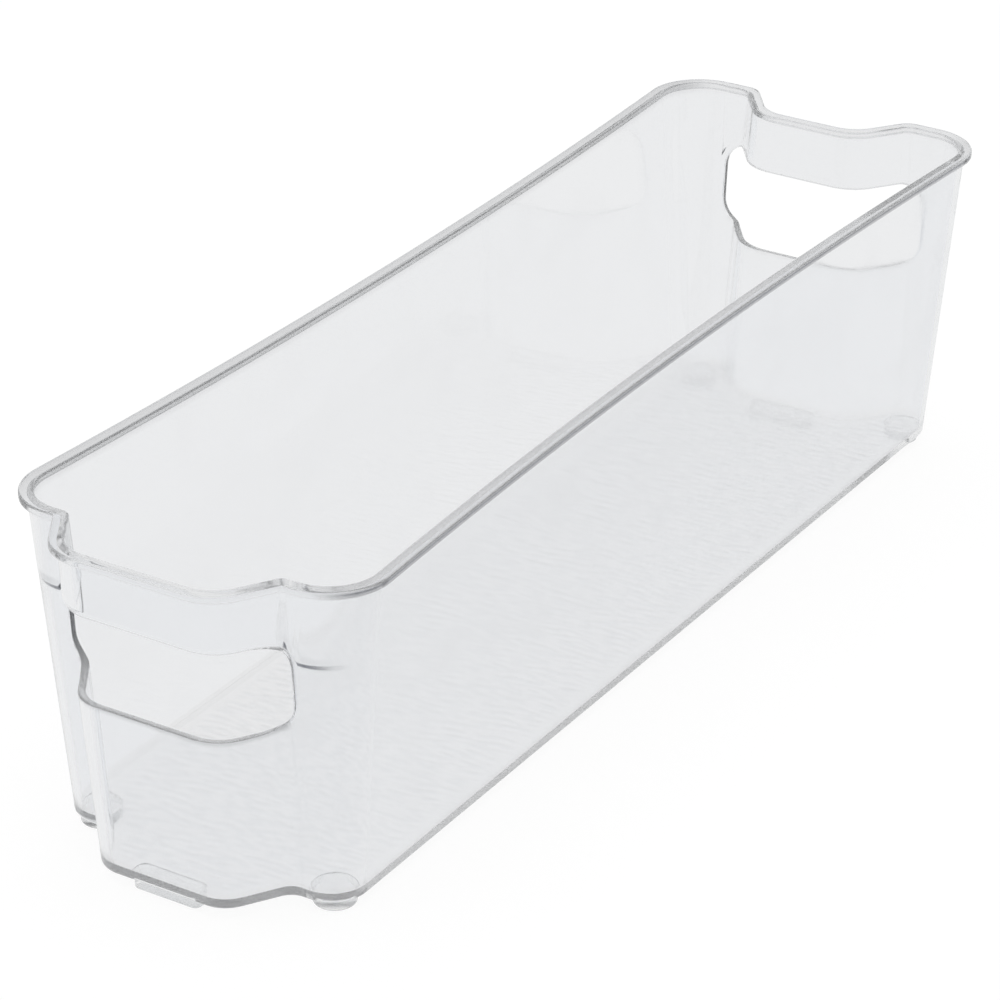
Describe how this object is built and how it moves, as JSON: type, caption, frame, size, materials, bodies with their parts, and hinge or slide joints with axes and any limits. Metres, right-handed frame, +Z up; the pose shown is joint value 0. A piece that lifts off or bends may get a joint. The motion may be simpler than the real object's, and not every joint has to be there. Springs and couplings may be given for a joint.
{
  "type": "fridge storage bin",
  "caption": "Long narrow clear plastic fridge bin, open on top, with leaning walls, a rim lip, stepped ends, a hand hole in each end and small clear pads under the floor.",
  "frame": {"origin": "on the ground the pads stand on, under the middle of the bin's length and width", "axes": "+Z up, X across the bin, Y along it, with the end whose middle panel stands out at -Y"},
  "size_m": [0.105, 0.3558, 0.095],
  "materials": {
    "clear_plastic": "clear, polished, with a faintly cool tint",
    "clear_pad": "clear, slightly cloudy, soft"
  },
  "bodies": {
    "root": {"tub": "clear_plastic", "foot_front_left": "clear_pad", "foot_front_right": "clear_pad", "foot_rear_left": "clear_pad", "foot_rear_right": "clear_pad", "bar_foot_front": "clear_pad", "bar_foot_rear": "clear_pad"}
  },
  "joints": []
}
